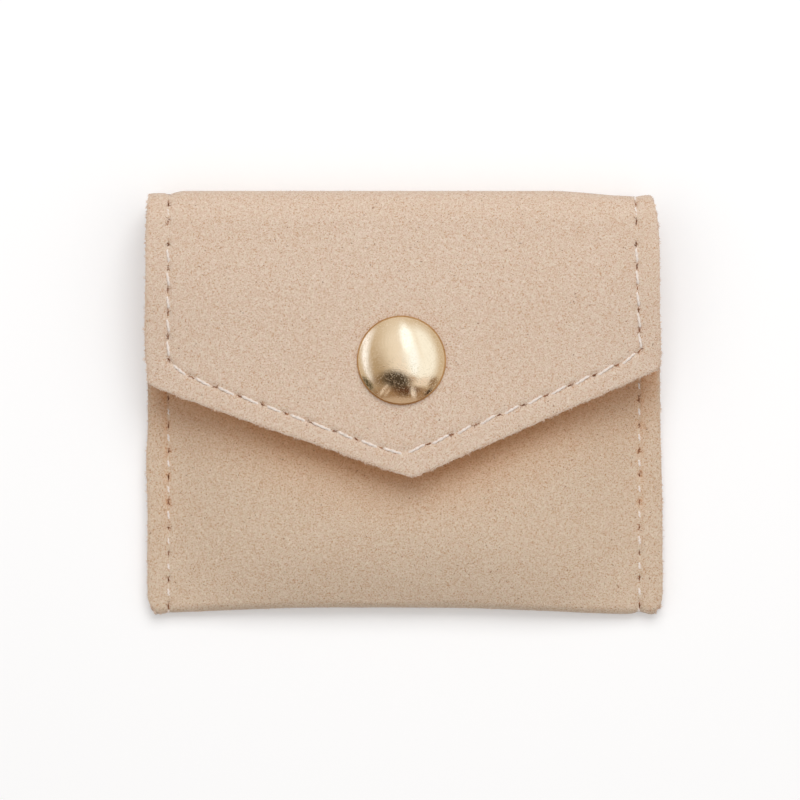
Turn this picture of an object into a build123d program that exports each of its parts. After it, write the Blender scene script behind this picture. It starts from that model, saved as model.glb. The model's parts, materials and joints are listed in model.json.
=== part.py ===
from build123d import *
import math
import os

# Mini wallet of one suede strip: front panel, bottom fold, back panel, top fold and V flap.
# It lies on its back. X runs across it, +Y towards the top fold and +Z out of the front.
# The origin is on the table, under the middle of the wallet. Lengths are in millimetres.

# Strip
wallet_width = 74.0            # cut width of the strip
wallet_height = 60.2           # bottom corners to the outside of the top fold
suede_thickness = 0.8
lining_thickness = 0.4
corner_radius = 1.3            # bottom corners, seen from the front

# Pocket
pocket_depth = 6.8             # outside, front to back, in the middle
bottom_bow = 0.9               # how far the full middle draws the bottom fold up
seam_margin = 3.0              # cut edge to seam, on the sides
seam_land = 4.0                # flat width along each side, where the panels are sewn together
bulge_stations = [0, 0.34, 0.5, 0.63, 0.74, 0.83, 0.91, 1.0]
cavity_share = 0.97            # of the bulged half width that the lining leaves open inside
mouth_below_fold = 4.0         # front panel's upper edge, below the start of the top fold
mouth_seam_margin = 3.0

# Top fold: one bend, divided into stiff bands of equal angle, with a hinge line before and after each
fold_band_names = ["lower", "middle", "upper"]
fold_band_gap = 0.04           # left at the far side of each band

# Flap
flap_side_length = 27.1        # outside of the top fold to the flap's corners
flap_length = 40.7             # outside of the top fold to the flap's tip
flap_side_relief = 0.5         # taken off each side by the time the flap reaches its corners
flap_lean = 6.0                # degrees that the flap still climbs as it leaves the fold
flap_settle_radius = 80.0      # the gentle bend that ends the climb
flap_level_margin = 0.2        # level part of the flap past the cap's edge
flap_corner_radius = 0.8
flap_tip_radius = 1.2
flap_seam_margin = 3.5         # cut edge to seam, along the V

# Thread
thread_width = 0.36
groove_width = 0.6
groove_depth = 0.2             # the thread pulls this deep into the suede, and fills it
stitch_pitch = 3.4
stitch_gap = 0.9               # between the ends of two stitches

# Snap fastener
snap_from_top = 24.2           # outside of the top fold to the snap's middle
cap_diameter = 12.5
cap_height = 2.8
cap_wall = 0.35
cap_rim_height = 0.6
cap_turn_in = 0.2              # bevel round the foot of the rim
cap_crown_wall = 0.5           # in the middle of the dome
post_radius = 1.3
post_wall = 0.3
post_clearance = 0.05          # all round a post, in its hole
post_roll_radius = 2.0
stud_flange_diameter = 10.4
stud_flange_height = 0.6
stud_flange_edge = 0.3
stud_neck_radius = 1.55
stud_head_radius = 2.1
stud_height = 1.95             # above its flange
stud_shoulder = 0.35           # height of the slope under the head
stud_nose = 0.5                # bevel round the head's top
stud_wall = 0.25
stud_back_diameter = 8.4
stud_back_thickness = 0.5
stud_back_bevel = 0.17
socket_height = 2.6
socket_diameter = 11.2
socket_top_diameter = 9.4
socket_bore_radius = 2.75
socket_web = 0.3
socket_lip = 0.25
socket_gap = 0.2               # between the closed socket and the stud's flange
spring_wire_radius = 0.2
spring_clearance = 0.06        # round the wire in its chamber
spring_straight = 5.0
spring_slit = 1.2              # gap that lets the spring ring open

# Heights and places that follow from the sizes above
sheet_thickness = suede_thickness + lining_thickness
seam_depth = 2 * sheet_thickness
half_width = wallet_width / 2
bulge_half_width = half_width - seam_land
top_y = wallet_height / 2
bottom_y = -top_y
snap_y = top_y - snap_from_top
flap_corner_y = top_y - flap_side_length
flap_tip_y = top_y - flap_length
front_z = pocket_depth
flange_top_z = front_z + stud_flange_height
socket_bottom_z = flange_top_z + socket_gap
wire_z = socket_bottom_z + socket_lip + spring_clearance + spring_wire_radius
neck_top_z = wire_z + spring_wire_radius + spring_clearance
flap_bottom_z = socket_bottom_z + socket_height
flap_top_z = flap_bottom_z + sheet_thickness

# The flap leaves the fold at a lean, climbs straight, and settles level just before the cap.
# Its fold is as wide as that path needs to end at the flap's height.
lean = math.radians(flap_lean)
settle_y = snap_y + cap_diameter / 2 + flap_level_margin
settle_run = flap_settle_radius * math.sin(lean)
settle_rise = flap_settle_radius * (1 - math.cos(lean))
climb_rise = (top_y - settle_run - settle_y) * math.tan(lean)
fold_radius = (flap_top_z - settle_rise - climb_rise) / (
    1 + math.cos(lean) - math.tan(lean) * (1 - math.sin(lean))
)
fold_y = top_y - fold_radius
fold_turn = 180 - flap_lean
fold_band_angle = fold_turn / len(fold_band_names)
root_y = fold_y + fold_radius * math.sin(lean)
mouth_y = fold_y - mouth_below_fold
over = 2.0                     # how far cutting bodies reach past what they cut


def bulge(x):
    # Share of the pocket's fullness at x: all of it in the middle, none on the sewn sides.
    across = min(abs(x) / bulge_half_width, 1)
    return (1 - across**4) ** 1.5


def depth_at(x):
    return seam_depth + (pocket_depth - seam_depth) * bulge(x)


def pocket_section(x, inset):
    # The strip's path round the bottom fold, cut across at x and drawn in by inset.
    half_depth = depth_at(x) / 2
    radius = half_depth - inset
    centre_y = bottom_y + bottom_bow * bulge(x) + half_depth
    low, high = half_depth - radius, half_depth + radius
    with BuildSketch(Plane.YZ.offset(x)) as section:
        with BuildLine():
            Line((fold_y, low), (centre_y, low))
            ThreePointArc((centre_y, low), (centre_y - radius, half_depth), (centre_y, high))
            Line((centre_y, high), (fold_y, high))
            Line((fold_y, high), (fold_y, low))
        make_face()
    return section.sketch


def pocket_form(inset, half_length=half_width + over):
    # The full shape of the pocket inside a given depth of the strip, out to half_length.
    bulged = [share * bulge_half_width for share in bulge_stations]
    stations = [x for x in bulged if x < half_length] + [half_length]
    stations = [-x for x in reversed(stations[1:])] + stations
    return loft([pocket_section(x, inset) for x in stations], ruled=True)


def prism(sketch, low, high):
    return Pos(0, 0, low) * extrude(sketch, high - low)


def body_outline():
    # Plan of the body, with rounded bottom corners and a straight end at the top fold.
    length = fold_y - bottom_y
    plan = Pos(0, bottom_y + length / 2) * Rectangle(wallet_width, length)
    corners = plan.vertices().group_by(Axis.Y)[0]
    return fillet(corners, corner_radius)


def mouth_cut():
    # Everything above the back panel, between the front panel's edge and the top fold.
    length = fold_y - mouth_y + over
    height = front_z + over
    return Pos(0, mouth_y + length / 2, sheet_thickness + height / 2) * Box(
        wallet_width + 2 * over, length, height
    )


def snap_disc(radius, low, high):
    return Pos(0, snap_y, low) * extrude(Circle(radius), high - low)


def snap_hole(low, high):
    return snap_disc(post_radius + post_clearance, low, high)


def strip_lines(points, width):
    # Flat ribbon of even width along a run of points.
    with BuildSketch() as ribbon:
        with BuildLine() as path:
            Polyline(*points)
        trace(path.line, width)
    return ribbon.sketch


def stitches(points):
    # The outline of each stitch along a run of points, whole stitches between its corners.
    outlines = []
    for start, end in zip(points, points[1:]):
        run = Vector(*end) - Vector(*start)
        count = max(1, round(run.length / stitch_pitch))
        pitch = run.length / count
        turn = math.degrees(math.atan2(run.Y, run.X))
        for index in range(count):
            middle = Vector(*start) + run * ((index + 0.5) / count)
            stitch = Rectangle(pitch - stitch_gap, thread_width)
            outlines.append(Pos(middle.X, middle.Y) * Rot(0, 0, turn) * stitch)
    return outlines


def laid_thread(skin, outlines, low, high):
    # The part of a thin skin that lies inside each stitch: thread flush with the surface.
    pieces = []
    for stitch in outlines:
        pieces += (skin & prism(stitch, low, high)).solids()
    return Compound(children=pieces)


# Body of the wallet

outline = prism(body_outline(), -over, front_z + over)
outer_form = pocket_form(0)
lining_form = pocket_form(suede_thickness)
cavity_form = pocket_form(sheet_thickness, cavity_share * bulge_half_width)

seam_x = half_width - seam_margin
seam_low_y = bottom_y + seam_margin / 2
side_seams = [[(side * seam_x, seam_low_y), (side * seam_x, mouth_y)] for side in (-1, 1)]
mouth_seam_y = mouth_y - mouth_seam_margin
mouth_seam = [(-seam_x + groove_width, mouth_seam_y), (seam_x - groove_width, mouth_seam_y)]
upper_seams = [[(side * seam_x, mouth_y), (side * seam_x, fold_y)] for side in (-1, 1)]

outer_skin = (outer_form - pocket_form(groove_depth)) & outline
front_skin = outer_skin & Pos(0, 0, front_z) * Box(
    wallet_width, wallet_height, 2 * (front_z - seam_depth / 2)
)
back_skin = outer_skin & Box(wallet_width, wallet_height, 2 * groove_depth)


def make_body_outer():
    shell = (outer_form - lining_form) & outline
    shell -= mouth_cut()
    for seam in side_seams + [mouth_seam]:
        shell -= front_skin & prism(strip_lines(seam, groove_width), 0, front_z + over)
    for seam in side_seams + upper_seams:
        groove = strip_lines(seam, groove_width)
        shell -= prism(groove, -over, groove_depth)
    shell -= snap_disc(stud_flange_diameter / 2, front_z, front_z + over)
    return shell - snap_hole(pocket_depth / 2, front_z + over)


def make_body_lining():
    lining = (lining_form & outline) - cavity_form
    lining -= mouth_cut()
    past_mouth = fold_y - mouth_y + over
    lining -= Pos(0, mouth_y + past_mouth / 2, sheet_thickness + over / 2) * Box(
        wallet_width, past_mouth, over
    )
    lining -= snap_disc(stud_back_diameter / 2, pocket_depth / 2, front_z - sheet_thickness)
    return lining - snap_hole(pocket_depth / 2, front_z)


def make_body_thread(seam, upper_seam):
    front = laid_thread(front_skin, stitches(seam), 0, front_z + over)
    back = laid_thread(back_skin, stitches(seam) + stitches(upper_seam), -over, groove_depth)
    return Compound(children=front.solids() + back.solids())


# Top fold

def fold_point(angle, radius):
    turn = math.radians(angle)
    return (fold_y + radius * math.sin(turn), fold_radius - radius * math.cos(turn))


def fold_sector(start, end, inner, outer, width):
    # Part of the bend between two angles and two radii, centred across the wallet.
    middle = (start + end) / 2
    with BuildSketch(Plane.YZ) as sector:
        with BuildLine():
            ThreePointArc(*[fold_point(angle, outer) for angle in (start, middle, end)])
            Line(fold_point(end, outer), fold_point(end, inner))
            ThreePointArc(*[fold_point(angle, inner) for angle in (end, middle, start)])
            Line(fold_point(start, inner), fold_point(start, outer))
        make_face()
    return extrude(sector.sketch, width / 2, both=True)


def make_fold_band(index):
    start = index * fold_band_angle
    gap_angle = math.degrees(fold_band_gap / fold_radius)
    end = start + fold_band_angle - gap_angle
    suede_inner = fold_radius - suede_thickness
    groove_inner = fold_radius - groove_depth
    outer = fold_sector(start, end, suede_inner, fold_radius, wallet_width)
    lining = fold_sector(start, end, fold_radius - sheet_thickness, suede_inner, wallet_width)
    count = math.ceil(math.radians(fold_band_angle) * fold_radius / stitch_pitch)
    step = fold_band_angle / count
    stitch_angle = step - math.degrees(stitch_gap / fold_radius)
    threads = []
    for side in (-1, 1):
        place = Pos(side * seam_x, 0, 0)
        outer -= place * fold_sector(
            start - over, end + over, groove_inner, fold_radius + over, groove_width
        )
        for number in range(count):
            middle = start + (number + 0.5) * step
            stitch = fold_sector(
                middle - stitch_angle / 2, middle + stitch_angle / 2,
                groove_inner, fold_radius, thread_width,
            )
            threads += (place * stitch).solids()
    return outer, lining, Compound(children=threads)


# Flap

def flap_path(depth):
    # Root, top of the climb, middle of the settling bend, its end, and past the tip.
    radius = flap_settle_radius - depth
    centre_z = flap_top_z - flap_settle_radius
    bend = [
        (settle_y + radius * math.sin(turn), centre_z + radius * math.cos(turn))
        for turn in (lean, lean / 2, 0)
    ]
    root = fold_point(fold_turn, fold_radius - depth)
    return [root, *bend, (flap_tip_y - over, flap_top_z - depth)]


def flap_layer(top, bottom):
    # All of the flap between two depths below its outer face, before it is cut to its outline.
    upper, lower = flap_path(top), flap_path(bottom)
    with BuildSketch(Plane.YZ) as layer:
        with BuildLine():
            for path in (upper, lower):
                Line(path[0], path[1])
                ThreePointArc(*path[1:4])
                Line(path[3], path[4])
            Line(upper[0], lower[0])
            Line(upper[4], lower[4])
        make_face()
    return extrude(layer.sketch, half_width + over, both=True)


def flap_outline():
    corner_x = half_width - flap_side_relief
    far_y = root_y + over
    with BuildSketch() as plan:
        with BuildLine():
            Polyline(
                (0, flap_tip_y), (corner_x, flap_corner_y), (half_width, root_y),
                (half_width, far_y), (-half_width, far_y), (-half_width, root_y),
                (-corner_x, flap_corner_y), close=True,
            )
        make_face()
        fillet(plan.vertices().group_by(Axis.Y)[1], flap_corner_radius)
        fillet(plan.vertices().group_by(Axis.Y)[0], flap_tip_radius)
    return plan.sketch


def flap_seam():
    # Down one side, along the V and up the other side, inside the cut edge.
    slope = math.atan2(flap_corner_y - flap_tip_y, half_width - flap_side_relief)
    lift = flap_seam_margin / math.cos(slope)
    corner_y = flap_corner_y + lift - (seam_margin - flap_side_relief) * math.tan(slope)
    return [
        (-seam_x, root_y), (-seam_x, corner_y), (0, flap_tip_y + lift),
        (seam_x, corner_y), (seam_x, root_y),
    ]


flap_cutter = prism(flap_outline(), flap_top_z - 2 * fold_radius, flap_top_z + over)
flap_low_z = flap_top_z - fold_radius


def make_flap_outer():
    flap = flap_layer(0, suede_thickness) & flap_cutter
    flap -= flap_layer(0, groove_depth) & prism(
        strip_lines(flap_seam(), groove_width), flap_low_z, flap_top_z + over
    )
    return flap - snap_hole(flap_low_z, flap_top_z + over)


def make_flap_lining():
    lining = flap_layer(suede_thickness, sheet_thickness) & flap_cutter
    return lining - snap_hole(flap_low_z, flap_top_z + over)


def make_flap_thread():
    skin = flap_layer(0, groove_depth)
    return laid_thread(skin, stitches(flap_seam()), flap_low_z, flap_top_z + over)


# Snap fastener

def turned(*outline_points):
    # A solid of revolution about the snap's axis, from points of radius and height.
    with BuildSketch(Plane.XZ) as section:
        with BuildLine():
            Polyline(*outline_points, close=True)
        make_face()
    return Pos(0, snap_y, 0) * revolve(section.sketch, Axis.Z)


def make_snap_cap():
    # Domed shell: its rim is turned in at the foot, and its inside is a plain taper.
    radius = cap_diameter / 2
    inside = radius - cap_wall
    top_z = flap_top_z + cap_height
    shoulder_z = flap_top_z + cap_rim_height
    rise = cap_height - cap_rim_height
    dome_radius = (radius**2 + rise**2) / (2 * rise)
    half_turn = math.asin(radius / dome_radius) / 2
    on_dome = (
        dome_radius * math.sin(half_turn),
        top_z - dome_radius * (1 - math.cos(half_turn)),
    )
    with BuildSketch(Plane.XZ) as section:
        with BuildLine():
            Line((inside, flap_top_z), (radius - cap_turn_in, flap_top_z))
            Line((radius - cap_turn_in, flap_top_z), (radius, flap_top_z + cap_turn_in))
            Line((radius, flap_top_z + cap_turn_in), (radius, shoulder_z))
            ThreePointArc((radius, shoulder_z), on_dome, (0, top_z))
            Line((0, top_z), (0, top_z - cap_crown_wall))
            Line((0, top_z - cap_crown_wall), (inside, shoulder_z - cap_wall / 2))
            Line((inside, shoulder_z - cap_wall / 2), (inside, flap_top_z))
        make_face()
    return Pos(0, snap_y, 0) * revolve(section.sketch, Axis.Z)


def make_snap_cap_post():
    # Disc crimped inside the cap, and a hollow post rolled over below the socket's web.
    disc_radius = cap_diameter / 2 - cap_wall - post_clearance
    roll_top = flap_bottom_z - socket_web
    roll_bottom = roll_top - post_wall
    bore = post_radius - post_wall
    return turned(
        (bore, roll_bottom), (post_roll_radius, roll_bottom), (post_roll_radius, roll_top),
        (post_radius, roll_top), (post_radius, flap_top_z), (disc_radius, flap_top_z),
        (disc_radius, flap_top_z + post_wall), (bore, flap_top_z + post_wall),
    )


def make_snap_socket():
    bottom, top = socket_bottom_z, flap_bottom_z
    chamber_low, chamber_high = bottom + socket_lip, neck_top_z
    chamber_radius = spring_straight / 2 + stud_neck_radius + 2 * (
        spring_wire_radius + spring_clearance
    )
    outer_radius = max(socket_diameter / 2, chamber_radius + 2 * socket_lip)
    top_radius = outer_radius - (socket_diameter - socket_top_diameter) / 2
    hole = post_radius + post_clearance
    return turned(
        (hole, top), (hole, top - socket_web), (socket_bore_radius, top - socket_web),
        (socket_bore_radius, chamber_high), (chamber_radius, chamber_high),
        (chamber_radius, chamber_low), (socket_bore_radius, chamber_low),
        (socket_bore_radius, bottom), (outer_radius - socket_lip, bottom),
        (outer_radius, bottom + socket_lip), (outer_radius, chamber_high), (top_radius, top),
    )


def make_snap_spring():
    # A ring of wire with two straight sides that grip the stud's neck, slit at one end.
    side = stud_neck_radius + spring_clearance + spring_wire_radius
    half_run = spring_straight / 2
    slit = spring_slit / 2
    slit_turn = math.asin(slit / side)
    slit_x = half_run + side * math.cos(slit_turn)
    with BuildLine(Pos(0, snap_y, wire_z)) as path:
        for mirror_y in (-1, 1):
            gap_end = (slit_x, mirror_y * slit)
            half_angle = (math.pi / 2 + slit_turn) / 2
            bend_x = half_run + side * math.cos(half_angle)
            on_bend = (bend_x, mirror_y * side * math.sin(half_angle))
            ThreePointArc(gap_end, on_bend, (half_run, mirror_y * side))
            Line((half_run, mirror_y * side), (-half_run, mirror_y * side))
        ThreePointArc((-half_run, -side), (-half_run - side, 0), (-half_run, side))
    wire = path.line.wires()[0]
    section = Plane(origin=wire @ 0, z_dir=wire % 0) * RegularPolygon(spring_wire_radius, 6)
    return sweep(section, path=wire)


def make_snap_stud():
    bottom, flange_top = front_z, flange_top_z
    head_top = flange_top + stud_height
    neck_top = neck_top_z
    flange_radius = stud_flange_diameter / 2
    hole = post_radius + post_clearance
    return turned(
        (hole, bottom), (flange_radius, bottom), (flange_radius, bottom + stud_flange_edge),
        (stud_neck_radius, flange_top), (stud_neck_radius, neck_top),
        (stud_head_radius, neck_top + stud_shoulder), (stud_head_radius, head_top - stud_nose),
        (stud_head_radius - stud_nose, head_top), (0, head_top), (0, head_top - stud_wall),
        (hole, head_top - stud_wall),
    )


def make_snap_stud_post():
    # Back disc inside the pocket, and a hollow post flared inside the stud's head.
    back_top = front_z - sheet_thickness
    back_bottom = back_top - stud_back_thickness
    flare_low = neck_top_z
    bore = post_radius - post_wall
    return turned(
        (bore, back_bottom), (stud_back_diameter / 2, back_bottom + stud_back_bevel),
        (stud_back_diameter / 2, back_top), (post_radius, back_top), (post_radius, flare_low),
        (post_radius, flare_low + post_wall), (bore, flare_low + post_wall),
    )


def make_nodes():
    nodes = {
        "body_outer": make_body_outer(),
        "body_lining": make_body_lining(),
        "flap_outer": make_flap_outer(),
        "flap_lining": make_flap_lining(),
        "flap_thread": make_flap_thread(),
        "mouth_thread": laid_thread(front_skin, stitches(mouth_seam), 0, front_z + over),
        "snap_cap": make_snap_cap(),
        "snap_cap_post": make_snap_cap_post(),
        "snap_socket": make_snap_socket(),
        "snap_spring": make_snap_spring(),
        "snap_stud": make_snap_stud(),
        "snap_stud_post": make_snap_stud_post(),
    }
    for side, seam, upper_seam in zip(("left", "right"), side_seams, upper_seams):
        nodes[f"side_thread_{side}"] = make_body_thread(seam, upper_seam)
    for index, name in enumerate(fold_band_names):
        outer, lining, thread = make_fold_band(index)
        nodes[f"fold_outer_{name}"] = outer
        nodes[f"fold_lining_{name}"] = lining
        nodes[f"fold_thread_{name}"] = thread
    return nodes


os.makedirs("parts", exist_ok=True)
for node_name, shape in make_nodes().items():
    export_step(shape, f"parts/{node_name}.step")
print(f"mouth y {mouth_y:.3f}, flap top z {flap_top_z:.3f}, fold radius {fold_radius:.4f}")
for number in range(len(fold_band_names) + 1):
    hinge_y, hinge_z = fold_point(number * fold_band_angle, fold_radius)
    print(f"hinge line {number + 1}: y {hinge_y:.4f}, z {hinge_z:.4f}")
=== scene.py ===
import json
import random
from math import asin, atan, copysign, cos, exp, hypot, pi, radians, sin, sqrt, tan, tau
from random import uniform

import bmesh
import bpy
from mathutils import Matrix, Vector, noise


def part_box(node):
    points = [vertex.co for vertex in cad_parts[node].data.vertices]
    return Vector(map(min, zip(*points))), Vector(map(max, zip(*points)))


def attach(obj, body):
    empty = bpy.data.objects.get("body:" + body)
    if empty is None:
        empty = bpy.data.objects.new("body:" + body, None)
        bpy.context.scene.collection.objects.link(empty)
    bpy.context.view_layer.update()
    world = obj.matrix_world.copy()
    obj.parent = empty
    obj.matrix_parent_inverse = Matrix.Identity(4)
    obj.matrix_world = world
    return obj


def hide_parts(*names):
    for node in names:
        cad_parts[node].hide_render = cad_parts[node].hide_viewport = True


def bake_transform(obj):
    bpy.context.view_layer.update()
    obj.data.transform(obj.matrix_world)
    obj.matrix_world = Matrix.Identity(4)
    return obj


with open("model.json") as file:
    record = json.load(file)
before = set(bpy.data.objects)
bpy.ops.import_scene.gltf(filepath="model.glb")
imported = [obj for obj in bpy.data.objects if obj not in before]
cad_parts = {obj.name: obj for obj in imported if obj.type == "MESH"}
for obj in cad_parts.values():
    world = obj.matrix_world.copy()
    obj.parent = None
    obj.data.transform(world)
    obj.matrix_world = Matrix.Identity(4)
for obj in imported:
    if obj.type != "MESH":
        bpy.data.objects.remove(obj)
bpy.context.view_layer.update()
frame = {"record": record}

mm = 0.001
up = Vector((0, 0, 1))


def inMm(*values):
    return tuple(value * mm for value in values)


def scaled(**values):
    return {name: value * mm for name, value in values.items()}


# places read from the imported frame

def lowOf(node):
    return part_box(node)[0]


def highOf(node):
    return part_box(node)[1]


hinges = [Vector(joint["pos_m"]) for joint in frame["record"]["behaviour"]["joints"]]
halfWidth = highOf("body_outer").x
bottomY = lowOf("body_outer").y
pocketDepth = highOf("body_outer").z
flapTopZ = highOf("flap_outer").z
foldY = hinges[0].y
snapY = (lowOf("snap_cap").y + highOf("snap_cap").y) / 2

strip = scaled(
    suede=0.8,  # outer layer
    sheet=1.2,  # both layers
    offset=0.37,  # the strip lies a little to the right of the snap
    land=4.0,  # flat width along the sewn sides
    mouthY=20.85,
    slope=11,  # the front panel falls away over this length above the fold
    fall=3.0,
    oval=2.0,  # the full bottom fold is blunt, and reaches out this far
    corner=2.3,  # the bottom corners are drawn in over this height
    drawnIn=1.0,  # by this much at the cut edge
    settleRadius=80,  # the flap settles to level in this bend, just past the snap
    settleMargin=0.2,
    blendMargin=3,  # the fold's pieces reach this far onto the body and the flap
    softness=0.13,  # slow unevenness of the soft panels
    softSize=13,
)
strip["lean"] = radians(6)  # the flap still climbs as it leaves the fold
foldRadius = hinges[3].z / (1 + cos(strip["lean"]))
foldRun = foldRadius * (pi - strip["lean"])
foldStart = -strip["blendMargin"]
foldEnd = foldRun + strip["blendMargin"]
settleY = highOf("snap_cap").y + strip["settleMargin"]
flapStartY = hinges[3].y - strip["blendMargin"] * cos(strip["lean"])

# left edge, left seam, right seam and right edge of the strip: as cut, and where they lie along its course
edgeX, seamX = inMm(37, 33.9)
nominalLines = (-edgeX, -seamX, seamX, edgeX)
mouthLines = inMm(-36.8, -33.9, 33.8, 36.6)
frontLines = inMm(-36.9, -33.9, 33.9, 37.2)
backLines = inMm(-36.7, -33.9, 33.9, 37.25)
backTopLines = inMm(-36.6, -33.6, 33.4, 36.45)
crestLines = inMm(-36.32, -33.5, 32.9, 35.27)
rootLines = inMm(-36.56, -33.4, 32.9, 36.1)
midLines = inMm(-36.78, -33.45, 33.5, 36.42)
cornerLines = inMm(-36.55, -33.4, 33.65, 36.34)

flapCut = {
    "edge": (inMm(-36.3, 2.2), inMm(1.1, -10.75), inMm(36.1, 4.6), 0.26 * mm),
    "seam": (inMm(-33.4, 4.55), inMm(-0.4, -7.7), inMm(33.65, 6.6), 1.3 * mm),
    "cornerRadius": 0.7 * mm,
    "seamRise": 1.5 * mm,  # the V turns up where it meets the side seams
    "droop": 2.3 * mm,  # the flap's sides hang lower than its middle
}
# each seam: stitches, how far the thread is sunk, its slant in degrees, its length against the usual
sewing = {
    "front": (14, 0.13 * mm, 7, 0.72),
    "back": (15, 0.1 * mm, 7, 0.8),
    "mouth": (19, 0.05 * mm, 8, 1.0),
    "flapSide": (5, 0.03 * mm, 8, 1.12),
    "flapVLeft": (10, 0.0, -5, 1.3),
    "flapVRight": (10, 0.0, 10, 1.3),
    "fold": (7, 0.2 * mm, 6, 0.9),
}
seamLook = scaled(valley=0.13, pucker=0.16, width=0.45)
rubbedEdge = scaled(reach=0.45, drop=0.16)
skin = 0.1 * mm  # depths above this are on the strip's outer face


def smooth(low, high, value):
    t = min(max((value - low) / (high - low), 0), 1)
    return t * t * (3 - 2 * t)


def lerp(a, b, share):
    return a + (b - a) * share


def spread(low, high, count):
    return [lerp(low, high, k / count) for k in range(count + 1)]


def wander(x, y, size, seed=0.0):
    # slow, even noise between about -1 and 1
    return noise.noise(Vector((x / size + seed, y / size - seed, seed)))


def linesBetween(lines, *following):
    # the strip's four lines, handed on from one set to the next by each share
    for share, others in following:
        lines = [lerp(a, b, share) for a, b in zip(lines, others)]
    return lines


def across(column, lines):
    # a nominal place across the strip, laid between the real cut edges and seams
    k = 0 if column <= nominalLines[1] else 1 if column <= nominalLines[2] else 2
    low, high = nominalLines[k], nominalLines[k + 1]
    return lerp(lines[k], lines[k + 1], (column - low) / (high - low))


def beyondSeam(column):
    # 0 inside the side seams, 1 at the cut edge
    return max(abs(column) - seamX, 0) / (edgeX - seamX)


def seamValley(off, share, seam):
    # the thread pulls the suede down, deepest at the needle holes between two stitches
    pull = (0.5 + 0.5 * cos(tau * share * sewing[seam][0])) ** 2
    return (seamLook["valley"] + seamLook["pucker"] * pull) * exp(-(off / seamLook["width"]) ** 2)


def edgeRoll(inside):
    # the cut edge is rubbed round: inside is the distance from it
    return rubbedEdge["drop"] * max(1 - inside / rubbedEdge["reach"], 0) ** 2


# the body: front panel, bottom fold and back panel

frontSeam = scaled(start=1.9, end=53.5, panel=49.8, roll=3.77)
backSeam = (2.02, 2.995)  # where the seam's row starts and ends, as shares up the back panel
panelLength = 47 * mm
softRun = 50 * mm  # the length that the panel's slow unevenness takes it to have
mouthRow = 3 / 47  # the row of stitches along the mouth
mouthReach = seamX - 0.6 * mm
bottomShape = {
    "crownX": -3 * mm,  # the bottom line is highest here
    "height": 0.55 * mm,
    "left": (0.87 * mm, 31 * mm, 2.2),  # how far it falls, over which reach and by which power
    "right": (0.75 * mm, 34 * mm, 1.7),
    "heavy": 0.26 * mm,  # it hangs lower on the right, short of the seam
    "tips": 0.32 * mm,  # and outside the seams
}


def frontShare(along):
    # how far along the sewn line of the front and the fold below it
    run = frontSeam["panel"] * min(along, 1) + frontSeam["roll"] * max(along - 1, 0)
    return (run - frontSeam["start"]) / (frontSeam["end"] - frontSeam["start"])


def frontAlong(share):
    run = lerp(frontSeam["start"], frontSeam["end"], share)
    return min(run / frontSeam["panel"], 1) + max(run - frontSeam["panel"], 0) / frontSeam["roll"]


def bulge(x):
    share = min(abs(x) / (halfWidth - strip["land"]), 1)
    return (1 - share ** 4) ** 1.5


def bottomLine(x, column):
    # the fold's lowest line: drawn up in the full middle, pinched at the seams, lower at the corners
    shape, out = bottomShape, abs(column) - seamX
    fall, reach, power = shape["left" if x < shape["crownX"] else "right"]
    middle = shape["height"] - fall * min(abs(x - shape["crownX"]) / reach, 1) ** power
    heavy = shape["heavy"] * smooth(9 * mm, 29 * mm, x) * smooth(34 * mm, 32.5 * mm, x)
    tips = shape["tips"] * smooth(0.2 * mm, 2.3 * mm, out) - 0.08 * mm * smooth(2.6 * mm, 3.1 * mm, out)
    return bottomY + middle - heavy - tips * (0.5 if column < 0 else 1)


def pouchSection(full):
    # thickness of the pouch, its fall towards the bottom, and the half oval of the fold it ends in
    section = lerp(2 * strip["sheet"], pocketDepth, full)
    fall = strip["fall"] * full
    lean = 2 * fall / strip["slope"]
    half = (section - fall) / 2
    for k in range(3):
        reach = lerp(half, strip["oval"], full)
        rollStart = atan(lean * reach / half)
        half = (section - fall) / (1 + cos(rollStart))
    return section, fall, lean, half, reach, rollStart


def bodyDrop(column, along, depth):
    # how far the threads and the rubbed edges take the surface in
    off, drop = abs(column) - seamX, 0
    if along >= 2:
        share = (along - backSeam[0]) / (backSeam[1] - backSeam[0])
        drop = seamValley(off, min(max(share, 0), 1), "back") * 0.6
    elif -0.05 < frontShare(along) < 1.05:
        drop = seamValley(off, frontShare(along), "front") * (1 - 0.4 * smooth(1, 2, along))
    if along < 0.1 and abs(column) <= mouthReach:
        share = (column / mouthReach + 1) / 2
        drop = max(drop, seamValley((along - mouthRow) * softRun, share, "mouth"))
    if depth < skin:
        drop += edgeRoll(edgeX - abs(column)) + edgeRoll(along * panelLength)
    return drop


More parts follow.
